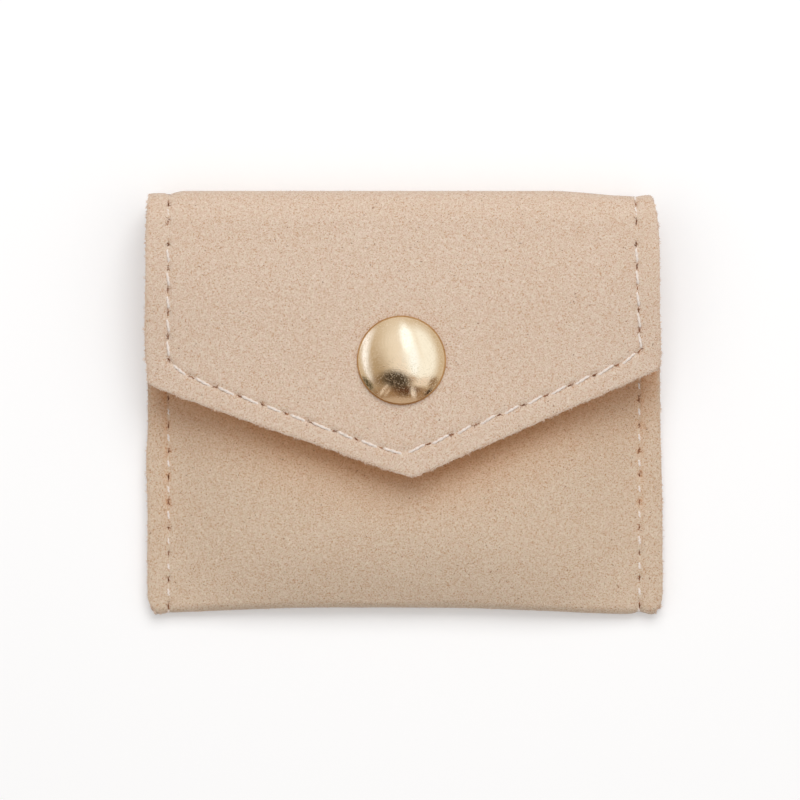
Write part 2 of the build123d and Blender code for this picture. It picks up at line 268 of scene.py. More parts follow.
def bodyPoint(column, along, depth):
    # along: 0 to 1 down the front, 1 to 2 round the bottom fold, 2 to 3 up the back
    x = across(column, linesBetween(mouthLines, (smooth(0, 0.9, along), frontLines),
                                    (smooth(1.2, 2, along), backLines),
                                    (smooth(2.1, 3, along), backTopLines)))
    full = bulge(x)
    section, fall, lean, half, reach, rollStart = pouchSection(full)
    soft = wander(x, along * softRun, strip["softSize"], 3.1)
    soft += 0.5 * wander(x, along * softRun, strip["softSize"] / 2.7, 7.7)
    lift = strip["softness"] * soft * full ** 0.5 * smooth(2.1, 1.4, along)
    inward = depth - lift + bodyDrop(column, along, depth)
    centreY = bottomLine(x, column) + reach
    if along <= 1:
        endY = centreY - reach * sin(rollStart)
        y = lerp(strip["mouthY"], endY, along)
        left = max(1 - (y - endY) / strip["slope"], 0)
        tilt = atan(lean * left)
        y, z = y + inward * sin(tilt), section - fall * left ** 2 - inward * cos(tilt)
    elif along <= 2:
        turn = lerp(rollStart, pi, along - 1)
        outY, outZ = -half * sin(turn), reach * cos(turn)
        inward = min(inward, 0.985 * half * half / reach) / hypot(outY, outZ)
        y = centreY - reach * sin(turn) - inward * outY
        z = half + half * cos(turn) - inward * outZ
    else:
        y, z = lerp(centreY, foldY - strip["blendMargin"], along - 2), inward
    into = min(max((bottomY + strip["corner"] - y) / strip["corner"], 0), 1)
    beyond = beyondSeam(column)
    x -= copysign(strip["drawnIn"] * into ** 2.2 * beyond, x)
    wobble = 0.07 * mm * wander(y, depth, 2.1 * mm, 5 if x > 0 else 9)
    wobble += 0.16 * mm * wander(y, 0, 9 * mm, 15 if x > 0 else 19)
    if x < 0:
        wobble -= 0.22 * mm * exp(-((y + 8.5 * mm) / (4.5 * mm)) ** 2)
    return Vector((x + strip["offset"] + wobble * beyond * smooth(3.0, 2.9, along), y, z))


# the top fold

# how far the crest sinks, and from where to where it does
crestSteps = (inMm(0.34, -31.3, -33.4), inMm(0.78, 21, 32.5), inMm(-0.12, 33.4, 34.6), inMm(0.25, 35, 36))
foldShape = scaled(
    rounded=2.9,  # the crest's ends are rounded off over this run, by the next two
    roundedLeft=0.55,
    roundedRight=0.75,
    sunk=0.04,
)
foldShape["squarer"] = 0.055  # share of the radius by which the fold is fuller than a true round


def foldPoint(column, run, depth):
    # run: outer length from the start of the bend, below 0 on the back panel
    crest, shape = foldRun / 2, foldShape
    x = across(column, linesBetween(backTopLines, (smooth(foldStart, crest, run), crestLines),
                                    (smooth(crest, foldEnd, run), rootLines)))
    share = (run - foldStart) / (foldEnd - foldStart)
    drop = seamValley(abs(column) - seamX, share, "fold")
    if depth < skin:
        drop += edgeRoll(edgeX - abs(column))
    rounded = shape["roundedLeft" if x < 0 else "roundedRight"]
    rounded *= max(1 - abs(run - crest) / shape["rounded"], 0) ** 1.5 * beyondSeam(column) ** 2
    x -= copysign(rounded, x)
    bow = -shape["sunk"] - sum(fall * smooth(start, end, x) for fall, start, end in crestSteps)
    x += strip["offset"]
    if run < 0:
        return Vector((x, foldY + run, depth + drop))
    turn = min(run, foldRun) / foldRadius
    nearEnd = min(run, foldRun - run) / foldRun
    squarer = shape["squarer"] * foldRadius * smooth(0.08, 0.33, nearEnd) * smooth(0.5, 0.36, nearEnd)
    radius = foldRadius - depth - drop + squarer + bow * sin(turn) ** 2
    place = Vector((x, foldY + radius * sin(turn), foldRadius - radius * cos(turn)))
    return place + Vector((0, -cos(strip["lean"]), sin(strip["lean"]))) * max(run - foldRun, 0)


# the flap

def vLine(x, left, tip, right, softness):
    leftY, rightY = [lerp(end[1], tip[1], (x - end[0]) / (tip[0] - end[0])) for end in (left, right)]
    return (leftY + rightY + hypot(leftY - rightY, softness)) / 2


def flapEdgeY(x):
    rise = 0.2 * mm * exp((flapCut["edge"][0][0] - x) / (3.5 * mm))
    return rise + vLine(x, *flapCut["edge"])


def flapSeamY(x):
    left, tip, right, softness = flapCut["seam"]
    fades = [exp(past / flapCut["seamRise"]) for past in (left[0] - x, x - right[0])]
    rise = min(1.5 * fades[0] + 0.9 * fades[1], 1.5) * mm
    return rise + vLine(x, left, tip, right, softness)


def flapSheet(x, y, depth):
    # level over the snap, a gentle bend, then the straight climb from the fold
    bend, climb = strip["settleRadius"], sin(strip["lean"])
    angle = asin(min(max((y - settleY) / bend, 0), climb))
    z = flapTopZ - bend * (1 - cos(angle))
    z -= max(y - settleY - bend * climb, 0) * tan(strip["lean"])
    away = smooth(0, 22 * mm, flapStartY - y)
    z -= flapCut["droop"] * away * abs(x / halfWidth) ** 2.4
    z += 0.8 * strip["softness"] * wander(x, y, strip["softSize"], 1.7) * away
    return Vector((x + strip["offset"], y - depth * sin(angle), z - depth * cos(angle)))


def flapPoint(column, row, depth):
    # row: 0 at the fold, 1 on the sewn V, 2 on the cut edge
    nominalY = lerp(flapStartY, flapEdgeY(column), min(row, 2) / 2)
    down = 2 * smooth(0, 1, (flapStartY - nominalY) / (flapStartY - 4 * mm))
    x = across(column, linesBetween(rootLines, (min(down, 1), midLines), (max(down - 1, 0), cornerLines)))
    seamY, edgeY = flapSeamY(x), flapEdgeY(x)
    y = lerp(flapStartY, seamY, row) if row <= 1 else lerp(seamY, edgeY, row - 1)
    slant = 0.93  # from distances down the panel to distances square to the V
    sideIn, edgeIn = edgeX - abs(column), (y - edgeY) * slant
    radius = flapCut["cornerRadius"]
    if sideIn < radius and edgeIn < radius:
        over = max(1 - radius / max(hypot(radius - sideIn, radius - edgeIn), radius), 0)
        x -= copysign((radius - sideIn) * over, x)
        y += (radius - edgeIn) * over
    drop = 0
    if row < 1.08:
        drop = seamValley(abs(column) - seamX, min(row, 1), "flapSide")
    if abs(column) < seamX + 0.4 * mm:
        drop = max(drop, seamValley((y - seamY) * slant, min(abs(column) / seamX, 1), "flapVLeft"))
    if depth < skin:
        drop += edgeRoll(sideIn) + edgeRoll(edgeIn)
    wobbleX = 0.06 * mm * wander(y, depth, 2.3 * mm, 2 if x > 0 else 4)
    wobbleX += 0.13 * mm * wander(y, 0, 8 * mm, 12 if x > 0 else 14) * smooth(0, 0.1, row)
    wobbleY = 0.1 * mm * wander(x, depth, 1.6 * mm, 6) + 0.14 * mm * wander(x, 0, 8 * mm, 8)
    return flapSheet(x + wobbleX * beyondSeam(column), y + wobbleY * max(row - 1, 0), depth + drop)


def meshOf(name, shape, smoothly=False):
    if smoothly:
        for face in shape.faces:
            face.smooth = True
    data = bpy.data.meshes.new(name)
    shape.to_mesh(data)
    shape.free()
    return data


def adjusted(thing, **values):
    for key, value in values.items():
        setattr(thing, key, value)
    return thing


def linked(name, data):
    made = bpy.data.objects.new(name, data)
    bpy.context.scene.collection.objects.link(made)
    return made


def finished(name, shape, materials, smoothly=False):
    data = meshOf(name, shape, smoothly)
    for material in materials:
        data.materials.append(material)
    return linked(name, data)


def fitted(piece, body, slotName, *nodes):
    # rides its body, or has its placing baked in for a piece of the fold, and stands in for the nodes
    if isinstance(body, int):
        bendAcross(piece)
    else:
        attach(piece, body)
    if nodes:
        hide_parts(*nodes)


def closedSheet(name, columns, rows, placeAt, top, bottom, materials):
    # a grid doubled into a closed sheet, then laid between two depths of the strip
    sheet = bmesh.new()
    cells = (len(columns) - 1, len(rows) - 1)
    bmesh.ops.create_grid(sheet, x_segments=cells[0], y_segments=cells[1], size=0.5)
    topFaces = set(sheet.faces)
    made = bmesh.ops.extrude_face_region(sheet, geom=sheet.faces[:])["geom"]
    lowVerts = {part for part in made if isinstance(part, bmesh.types.BMVert)}
    for vert in sheet.verts:
        column = columns[round((vert.co.x + 0.5) * cells[0])]
        row = rows[round((vert.co.y + 0.5) * cells[1])]
        vert.co = placeAt(column, row, bottom if vert in lowVerts else top)
    for face in sheet.faces:
        isLow = all(vert in lowVerts for vert in face.verts)
        face.material_index = 0 if face in topFaces else 2 if isLow else 1
    bmesh.ops.recalc_face_normals(sheet, faces=sheet.faces[:])
    for edge in sheet.edges:
        edge.smooth = len({face.material_index for face in edge.link_faces}) == 1
    return finished(name, sheet, materials, True)


# materials

def newMaterial(name):
    material = bpy.data.materials.new(name)
    material.use_nodes = True
    tree = material.node_tree
    return material, tree, addNode(tree, "ShaderNodeTexCoord").outputs["Object"]


def feed(tree, value, socket):
    # a node's output is linked; a number or a colour is set
    if isinstance(value, bpy.types.NodeSocket):
        tree.links.new(value, socket)
    else:
        socket.default_value = (*value, 1) if socket.type == "RGBA" else value


def addNode(tree, kind, **values):
    # inputs and settings by name; the nodes lie in rows, in the order they are made
    node = tree.nodes.new(kind)
    node.location = (len(tree.nodes) % 12 * 200, -(len(tree.nodes) // 12) * 300)
    for key, value in values.items():
        socket = node.inputs.get(key.replace("_", " "))
        if socket is not None:
            feed(tree, value, socket)
        else:
            setattr(node, key, value)
    return node


def calc(tree, operation, *values, kind="ShaderNodeMath"):
    # a third value is worked in the same way onto the result of the first two, and so on
    result = values[0]
    for value in values[1:] or (None,):
        node = addNode(tree, kind, operation=operation)
        feed(tree, result, node.inputs[0])
        if value is not None:
            feed(tree, value, node.inputs[1])
        result = node.outputs["Value" if operation == "LENGTH" else 0]
    return result


def noiseOn(tree, coords, scale, detail=2.0, rough=0.5, stretch=(1, 1, 1), turn=(0, 0, 0)):
    mapping = addNode(tree, "ShaderNodeMapping", Vector=coords, Scale=stretch, Rotation=turn)
    pattern = addNode(tree, "ShaderNodeTexNoise", Vector=mapping.outputs["Vector"], Scale=scale,
                      Detail=detail, Roughness=rough)
    return pattern.outputs["Fac"]


def ranged(tree, value, low, high, toLow, toHigh, eased=False):
    kind = "SMOOTHSTEP" if eased else "LINEAR"
    ramp = addNode(tree, "ShaderNodeMapRange", interpolation_type=kind, Value=value, From_Min=low,
                   From_Max=high, To_Min=toLow, To_Max=toHigh)
    return ramp.outputs["Result"]


def tinted(tree, base, colour, share, span=None, most=1.0, eased=False, blend="MIX"):
    # lays a colour over what comes in; over the span of a pattern its share rises from 0 to the most
    if span:
        share = ranged(tree, share, *span, 0, most, eased)
    mix = addNode(tree, "ShaderNodeMix", data_type="RGBA", blend_type=blend, Factor=share, A=base, B=colour)
    return mix.outputs["Result"]


def layered(tree, coords, base, layers):
    colour, patterns = base, []
    for tint, pattern, *showing in layers:
        patterns.append(noiseOn(tree, coords, *pattern))
        colour = tinted(tree, colour, tint, patterns[-1], *showing)
    return colour, patterns


def dressed(material, colour, height=None, bump=(0, 0), **values):
    # the colour, a bump of some strength and depth, and the shader's own values
    tree = material.node_tree
    shader = tree.nodes["Principled BSDF"]
    values["Base_Color"] = colour
    if height:
        raised = addNode(tree, "ShaderNodeBump", Strength=bump[0], Distance=bump[1], Height=height)
        values["Normal"] = raised.outputs["Normal"]
    for key, value in values.items():
        feed(tree, value, shader.inputs[key.replace("_", " ")])
    return material


def linear(red, green, blue):
    # a colour as it looks on screen, 0 to 255, in the linear values a shader takes
    return tuple(((c / 255 + 0.055) / 1.055) ** 2.4 for c in (red, green, blue))


# layers of a look: the tint, its noise (scale, detail, roughness, stretch), over which span of the
# noise it comes in, and its most
suedeLook = {
    "base": linear(220, 202, 182),
    "patches": (linear(223, 207, 189), (75, 2, 0.5), (0.3, 0.7), 0.4),
    "mottle": (linear(210, 182, 157), (1100, 3, 0.6), (0.48, 0.75), 0.6),
    "pores": (linear(182, 134, 94), (5200, 2, 0.7), (0.48, 0.72), 1.0),
    "flecks": (linear(116, 72, 48), (3100, 1, 0.4), (0.72, 0.77), 0.7, True),
    "blush": ((1.0, 0.962, 0.985), (2500, 1, 0.5), (0.35, 0.65), 1.0, False, "MULTIPLY"),
    "palest": linear(238, 222, 206),
    "darkest": linear(182, 134, 94),
    # painted shade: the darker, warmer tint laid where the flap shades the body
    "paintedShade": (1.08, 0.71, 0.44),
    # painted shade: the body's copy of the suede is made darker and a little yellower than the flap's
    "paintedBodyShade": (0.94, 0.935, 0.895),
    "bump": (0.3, 0.12 * mm),
}
# scale, shift and width of the lying fibres
curlLook = {"pale": ((1900, 0.11, 0.05), (2500, 0.22, 0.05)), "dark": (2100, 0.47, 0.045)}


def curls(tree, coords, scale, shift, width):
    # thin bent lines, as fibres lying in the nap: the middle contour of a warped noise, broken by another
    moved = addNode(tree, "ShaderNodeMapping", Vector=coords, Location=(shift, -shift * 0.7, shift * 0.3))
    place = moved.outputs["Vector"]
    bent = addNode(tree, "ShaderNodeTexNoise", Vector=place, Scale=scale, Detail=1.0, Distortion=1.4)
    gate = addNode(tree, "ShaderNodeTexNoise", Vector=place, Scale=scale * 1.3, Detail=1.0)
    off = calc(tree, "ABSOLUTE", calc(tree, "SUBTRACT", bent.outputs["Fac"], 0.5))
    return calc(tree, "MULTIPLY", ranged(tree, off, 0, width, 1, 0, True),
                ranged(tree, gate.outputs["Fac"], 0.46, 0.56, 0, 1))


def paintedShadeShare(tree, coords):
    # painted warm shade: where ambient occlusion finds other surfaces close by, as beside the flap, the
    # colour is made darker and warmer, standing in for light passed from nap to nap; less so in the seams and
    # at the cut edges, and not near the bottom
    sky = addNode(tree, "ShaderNodeAmbientOcclusion", Distance=12 * mm, samples=6)
    split = addNode(tree, "ShaderNodeSeparateXYZ", Vector=coords)
    offMiddle = calc(tree, "ABSOLUTE", calc(tree, "SUBTRACT", split.outputs["X"], strip["offset"]))
    offSeam = calc(tree, "ABSOLUTE", calc(tree, "SUBTRACT", offMiddle, seamX))
    return calc(tree, "MULTIPLY",
                ranged(tree, sky.outputs["AO"], 0.97, 0.6, 0, 1),
                ranged(tree, split.outputs["Y"], bottomY + 10 * mm, bottomY + 15 * mm, 0, 1),
                ranged(tree, offSeam, 0.1 * mm, 0.35 * mm, 0.6, 1),
                ranged(tree, offMiddle, edgeX - 0.7 * mm, edgeX - 0.2 * mm, 1, 0.15))


def makeSuede(name, look, paintedShade=False):
    material, tree, coords = newMaterial(name)
    layers = [look[layer] for layer in ("patches", "mottle", "pores", "flecks")]
    colour, patterns = layered(tree, coords, look["base"], layers)
    fibres = calc(tree, "ADD", *[curls(tree, coords, *curl) for curl in curlLook["pale"]])
    dark = curls(tree, coords, *curlLook["dark"])
    colour = tinted(tree, colour, look["darkest"], dark, (0, 1), 0.5)
    colour = tinted(tree, colour, look["palest"], fibres, (0, 1.3), 0.75)
    colour = layered(tree, coords, colour, [look["blush"]])[0]
    if paintedShade:
        # painted shade: the whole body copy darker and a little yellower than the flap
        colour = tinted(tree, colour, look["paintedBodyShade"], 1, blend="MULTIPLY")
        # painted warm shade beside the flap, from ambient occlusion
        share = paintedShadeShare(tree, coords)
        colour = tinted(tree, colour, look["paintedShade"], share, blend="MULTIPLY")
    height = calc(tree, "ADD", ranged(tree, patterns[2], 0.3, 0.7, 0.6, 0),
                  ranged(tree, fibres, 0, 1, 0, 0.6), ranged(tree, patterns[1], 0.3, 0.7, 0.6, 0))
    return dressed(material, colour, height, look["bump"], Roughness=0.95, Specular_IOR_Level=0.05,
                   Sheen_Weight=0.4, Sheen_Roughness=0.3, Sheen_Tint=(0.86, 0.93, 1.0))


# raw cut side of the layers: matted fibres, a little pinker than the face
cutLook = {
    "base": linear(206, 178, 158),
    "layers": ((linear(140, 108, 92), (2400, 4, 0.7), (0.45, 0.7), 0.8),
               (linear(232, 212, 198), (3600, 2, 0.6), (0.55, 0.72), 0.7)),
    "bump": (0.9, 0.2 * mm),
}
# smooth microfibre backing with a fine knitted grain
liningLook = {
    "base": linear(196, 158, 124),
    "layers": ((linear(170, 130, 98), (1800, 3, 0.6, (1, 0.6, 1)), (0.4, 0.7), 0.7),
               (linear(210, 174, 142), (140, 3, 0.5), (0.4, 0.7), 0.5)),
    "bump": (0.45, 0.1 * mm),
}
threadLook = {
    "base": linear(238, 226, 217),
    "layers": ((linear(202, 182, 166), (5200, 2, 0.6, (1, 1, 0.5)), (0.45, 0.75), 0.6),),
    "bump": (0.4, 0.04 * mm),
}
# painted shade: dark pits for the shade in the needle holes, and dark brown bits for the shade in the gaps
# between stitches
holeShadeLook = {"base": linear(96, 62, 42), "layers": ((linear(172, 126, 96), (1200, 2, 0.6), (0.35, 0.65)),)}
paleLook = {"base": linear(214, 188, 166), "layers": ((linear(236, 216, 198), (900, 1), (0.35, 0.65)),)}
gapShadeLook = {"base": linear(122, 78, 56), "layers": ((linear(186, 142, 114), (900, 1), (0.35, 0.65)),)}


def makeMatt(name, look, **values):
    material, tree, coords = newMaterial(name)
    colour, patterns = layered(tree, coords, look["base"], look["layers"])
    raised = (patterns[0], look["bump"]) if "bump" in look else ()
    return dressed(material, colour, *raised, **values)


goldLook = {
    "base": (0.86, 0.675, 0.44),
    "layers": (((0.80, 0.60, 0.365), (420, 3, 0.6), (0.5, 0.8), 0.35),),
    # painted reflection: the orange-brown of the suede, mirrored in the cap's steep edge, laid on as colour
    "rim": (0.55, 0.27, 0.07),
    "rimStart": 0.55 * mm,  # above the foot of the cap
    "rimEnd": 0.15 * mm,
    "bump": (0.3, 0.02 * mm),
}


def makeGold(look):
    # pale polished plating with a fine orange-peel speckle, and a coppery line round its foot that is a
    # painted reflection of the suede in the steep edge
    material, tree, coords = newMaterial("paleGold")
    colour = layered(tree, coords, look["base"], look["layers"])[0]
    split = addNode(tree, "ShaderNodeSeparateXYZ", Vector=coords)
    foot = lowOf("snap_cap").z
    rim = (foot + look["rimStart"], foot + look["rimEnd"])
    # painted reflection of the suede near the foot
    colour = tinted(tree, colour, look["rim"], split.outputs["Z"], rim, 0.85)
    speckle = noiseOn(tree, coords, 4600, 2, 0.6)
    scratch = noiseOn(tree, coords, 1900, 3, 0.6, (1, 0.15, 1), (0, 0, 0.6))
    pits = ranged(tree, noiseOn(tree, coords, 5600, 1, 0.5), 0.6, 0.68, 0, 1.6, True)
    return dressed(material, colour, calc(tree, "ADD", speckle, scratch, pits), look["bump"], Metallic=1.0,
                   Roughness=ranged(tree, speckle, 0.3, 0.75, 0.05, 0.15))


def makeMetal(name, base, wearAndReflection, rough):
    material, tree, coords = newMaterial(name)
    colour = layered(tree, coords, base, [(wearAndReflection, (600, 4, 0.65), (0.45, 0.75), 0.7)])[0]
    rub = noiseOn(tree, coords, 3000, 3, 0.6, (1, 0.3, 1))
    return dressed(material, colour, rub, (0.12, 0.03 * mm), Metallic=1.0,
                   Roughness=ranged(tree, rub, 0.3, 0.75, rough * 0.7, rough * 1.5))


suede = makeSuede("beigeSuede", suedeLook)
# the body's copy of the suede, with painted shade
shadedBodySuede = makeSuede("bodySuede", suedeLook, True)
cutSuede = makeMatt("cutSuede", cutLook, Roughness=1.0, Specular_IOR_Level=0.1, Sheen_Weight=0.3)
lining = makeMatt("liningCloth", liningLook, Roughness=0.85, Sheen_Weight=0.15)
thread = makeMatt("sewingThread", threadLook, Roughness=0.6, Sheen_Weight=0.2)
# painted shade of the needle holes and of the stitch gaps
paintedHoleShade = makeMatt("paintedHoleShade", holeShadeLook, Roughness=1.0, Specular_IOR_Level=0.0)
paleFibre = makeMatt("paleFibre", paleLook, Roughness=0.8, Specular_IOR_Level=0.1)
gapShadeBits = makeMatt("gapShadeBits", gapShadeLook, Roughness=0.8, Specular_IOR_Level=0.1)
gold = makeGold(goldLook)
brass = makeMetal("platedBrass", (0.78, 0.60, 0.33), (0.60, 0.42, 0.20), 0.24)
steel = makeMetal("springSteel", (0.60, 0.58, 0.55), (0.42, 0.40, 0.37), 0.3)
print("materials made")


# the suede strip and its lining

# across the strip, close together at the seams and the cut edges
beside = (-0.7, -0.45, -0.28, -0.14, 0, 0.14, 0.28, 0.45, 0.7)
halfColumns = spread(0, seamX - 1.0 * mm, 66) + [seamX + off for off in inMm(*beside)]
halfColumns += [edgeX - off for off in inMm(2.0, 1.5, 1.0, 0.6, 0.36, 0.2, 0.08, 0)]
columns = [-x for x in reversed(halfColumns[1:])] + halfColumns
bodyRows = [0, 0.0015, 0.004] + spread(0, 1, 112)[1:-1] + spread(1, 2, 18)[:-1] + spread(2, 3, 84)
seamShares = [off / 3.9 for off in (*beside, 1.2, 1.8, 2.4)]
flapRows = spread(0, 0.96, 56) + [1 + max(share, share * 0.16) for share in seamShares]
flapRows += [1.76, 1.86, 1.92, 1.96, 1.985, 2.0]
# for each layer: its name, its slot, its kind of node, its depths, and the finish of face, wall and back
layers = [("Suede", "suede", "outer", 0.0, strip["suede"], (suede, cutSuede, cutSuede)),
          ("Lining", "lining", "lining", strip["suede"], strip["sheet"], (lining, cutSuede, lining))]

for layer, slotName, kind, top, bottom, finish in layers:
    bodyFinish = [shadedBodySuede if material == suede else material for material in finish]
    body = closedSheet("body" + layer, columns, bodyRows, bodyPoint, top, bottom, bodyFinish)
    fitted(body, "body", slotName, "body_" + kind)
    flap = closedSheet("flap" + layer, columns, flapRows, flapPoint, top, bottom, finish)
    fitted(flap, "flap", slotName, "flap_" + kind)
print("body and flap laid")

bandNames = ["lower", "middle", "upper"]
bandRun = foldRun / 3
foldBreaks = [foldStart, bandRun / 2, bandRun * 1.5, bandRun * 2.5, foldEnd]


def bendAcross(piece):
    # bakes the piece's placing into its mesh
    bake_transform(piece)


def bandNodes(kind, index):
    # a piece of the fold replaces the bands on both sides of its hinge
    return [f"fold_{kind}_{bandNames[n]}" for n in (index - 1, index) if 0 <= n < 3]


for layer, slotName, kind, top, bottom, finish in layers:
    for k in range(4):
        rows = spread(foldBreaks[k], foldBreaks[k + 1], 14)
        band = closedSheet(f"fold{layer}{k + 1}", columns, rows, foldPoint, top, bottom, finish)
        fitted(band, k, slotName, *bandNodes(kind, k))
print("top fold laid")


# stitches, needle holes and loose fibres

random.seed(41)
stitchLook = {
    "length": 2.25 * mm,
    "radius": 0.2 * mm,
    "stand": 0.03 * mm,
    "dive": 0.4 * mm,
    "twist": 0.24,  # depth of the groove between the two plies
}
fibreBends = (0.002, 0.006, 0.011, -0.006)


def rolledTube(rings, placeAt, merging):
    # a grid rolled up: placeAt takes a share of its length and a turn round it
    tube = bmesh.new()
    bmesh.ops.create_grid(tube, x_segments=rings, y_segments=10, size=0.5)
    for vert in tube.verts:
        vert.co = placeAt(vert.co.x + 0.5, (vert.co.y + 0.5) * tau)
    bmesh.ops.remove_doubles(tube, verts=tube.verts[:], dist=merging)
    bmesh.ops.recalc_face_normals(tube, faces=tube.faces[:])
    return tube


def onStitch(share, turn):
    # one stitch of two twisted plies, 1 long: its ends dive into the needle holes
    look, along = stitchLook, share * 2 - 1
    end = max(1 - abs(along) ** 6, 0) ** 0.5
    lobes = 1 + look["twist"] * cos(2 * turn + along * 10)
    radius = look["radius"] * end * lobes * (1 - 0.2 * along * along)
    dive = look["dive"] * abs(along) ** 4
    return Vector((along / 2, radius * cos(turn), radius * sin(turn) * 0.85 - dive))


def makeFibreTemplate(bendBy):
    # a tapering hair 1 long, standing on its root and bent over
    hair = bmesh.new()
    bmesh.ops.create_cone(hair, cap_ends=True, segments=3, radius1=1.0, radius2=0.25, depth=1.0)
    ring = [edge for edge in hair.edges if abs(edge.verts[0].co.z - edge.verts[1].co.z) > 0.5]
    bmesh.ops.subdivide_edges(hair, edges=ring, cuts=3, use_grid_fill=False)
    for vert in hair.verts:
        height = vert.co.z + 0.5
        vert.co = Vector((vert.co.x / 2 + bendBy * height * height * 40, vert.co.y / 2, height))
    return meshOf("fibreTemplate", hair)


def gather(name, placed, material):
    # one piece from many placed copies of small shapes
    whole = bmesh.new()
    for template, matrix in placed:
        copy = template.copy()
        copy.transform(matrix)
        whole.from_mesh(copy)
        bpy.data.meshes.remove(copy)
    return finished(name, whole, [material])


def basis(point, forward, outward):
    # a placing whose X runs forward and whose Z stands out of the surface
    side = outward.cross(forward).normalized()
    ahead = side.cross(outward).normalized()
    turn = Matrix((ahead, side, outward)).transposed().to_4x4()
    return Matrix.Translation(point) @ turn


def placedOn(placeAt, share, depth):
    # point, direction and outward normal of a line on the strip; depth 0 is its outer face
    point = placeAt(share, depth)
    forward = (placeAt(share + 0.002, depth) - placeAt(share - 0.002, depth)).normalized()
    if depth > 0:
        outward = point - placeAt(share, depth - 0.4 * mm)
    else:
        outward = placeAt(share, 0.15 * mm) - placeAt(share, 0.6 * mm)
    return point, forward, outward.normalized()


stitchTemplate = meshOf("stitchTemplate", rolledTube(20, onStitch, 0.002 * mm), True)
dimple = bmesh.new()
bmesh.ops.create_uvsphere(dimple, u_segments=10, v_segments=6, radius=1.0)
holeTemplate = meshOf("holeTemplate", dimple, True)
fibreTemplates = [makeFibreTemplate(bendBy) for bendBy in fibreBends]


def sewn(seam, pointAt, courseOf, depth=0.0):
    # for each stitch: its share of the line, the stitch, a dark pit as painted shade of the needle hole after
    # it, and dark brown bits round the hole as painted shade in the gap
    def placeAt(share, deep):
        return pointAt(*courseOf(share), deep)

    count, sunk, slant, shorter = sewing[seam]
    line = []
    for k in range(count):
        share = (k + 0.5) / count
        point, forward, outward = placedOn(placeAt, share, depth)
        length = stitchLook["length"] * shorter * uniform(0.9, 1.14)
        yaw = Matrix.Rotation(radians(slant + uniform(-2.5, 2.5)), 4, "Z")
        rise = outward * (stitchLook["stand"] - sunk * uniform(0.6, 1.2))
        stitch = basis(point + rise, forward, outward) @ yaw @ Matrix.Diagonal((length, 1, 1, 1))
        holes, bits = [], []
        spot, forward, outward = placedOn(placeAt, k / count + 0.0001, depth)
        spot = spot + forward * uniform(-0.15, 0.15) * mm
        # dark pits: painted shade in the needle hole
        for part in range(random.randint(1, 2)):
            pit = basis(spot + forward * part * 0.28 * mm, forward, outward)
            size = (uniform(0.14, 0.3) * mm, uniform(0.09, 0.15) * mm, 0.08 * mm, 1)
            holes.append((holeTemplate, pit @ Matrix.Diagonal(size)))
        # dark brown bits round the hole: painted shade in the gap between stitches
        for bit in range(random.randint(7, 12)):
            ahead = forward * uniform(-1.2, 1.2) + outward * uniform(0.1, 0.45)
            aim = (ahead + outward.cross(forward) * uniform(-0.7, 0.7)).normalized()
            start = spot + forward * uniform(-0.55, 0.55) * mm
            thick = uniform(0.08, 0.16) * mm
            size = Matrix.Diagonal((thick, thick, uniform(0.2, 0.6) * mm, 1))
            bits.append((random.choice(fibreTemplates), basis(start, outward.cross(aim), aim) @ size))
        line.append((share, [(stitchTemplate, stitch)], holes, bits))
    return line


def seamPieces(name, stitches, body, *nodes):
    # thread, painted shade of the needle holes, and dark bits as painted shade round them, of one seam, as
    # three pieces
    kinds = (("Thread", thread, "thread", nodes), ("Holes", paintedHoleShade, "suede", ()),
             ("Bits", gapShadeBits, "suede", ()))
    for k, (suffix, look, slotName, replaced) in enumerate(kinds):
        piece = gather(name + suffix, [part for stitch in stitches for part in stitch[k + 1]], look)
        fitted(piece, body, slotName, *replaced)


sides = ((-1, "Left"), (1, "Right"))
for side, sideName in sides:
    column = side * seamX
    stitches = sewn("front", bodyPoint, lambda share: (column, frontAlong(share)))
    stitches += sewn("back", bodyPoint, lambda share: (column, lerp(*backSeam, share)))
    seamPieces(sideName.lower() + "Seam", stitches, "body", "side_thread_" + sideName.lower())

stitches = sewn("mouth", bodyPoint, lambda share: (lerp(-1, 1, share) * mouthReach, mouthRow))
seamPieces("mouthSeam", stitches, "body", "mouth_thread")

stitches = []
for depth in (0.0, strip["sheet"]):
    for side, sideName in sides:
        column = side * seamX
        stitches += sewn("flapSide", flapPoint, lambda share: (column, share), depth)
        stitches += sewn("flapV" + sideName, flapPoint, lambda share: (lerp(column, 0, share), 1), depth)
seamPieces("flapSeam", stitches, "flap", "flap_thread")

stitches = []
for depth in (0.0, strip["sheet"]):
    for side, sideName in sides:
        column = side * seamX
        stitches += sewn("fold", foldPoint, lambda share: (column, lerp(foldStart, foldEnd, share)), depth)
for k in range(4):
    low, high = [(stop - foldStart) / (foldEnd - foldStart) for stop in foldBreaks[k:k + 2]]
    ownStitches = [stitch for stitch in stitches if low <= stitch[0] < high]
    seamPieces(f"foldSeam{k + 1}", ownStitches, k, *bandNodes("thread", k))
print("seams sewn")


# fuzz: single fibres along the cut edges and over the bends

fuzzLook = {
    "perLength": 15 / mm,
    "length": 0.34 * mm,
    "napLength": 0.16 * mm,
    "bottomNap": 26 / mm,
    "foldNap": 12 / mm,
    "lean": 0.6,
    "napLean": 0.9,
    "tuftSize": 0.9 * mm,
}


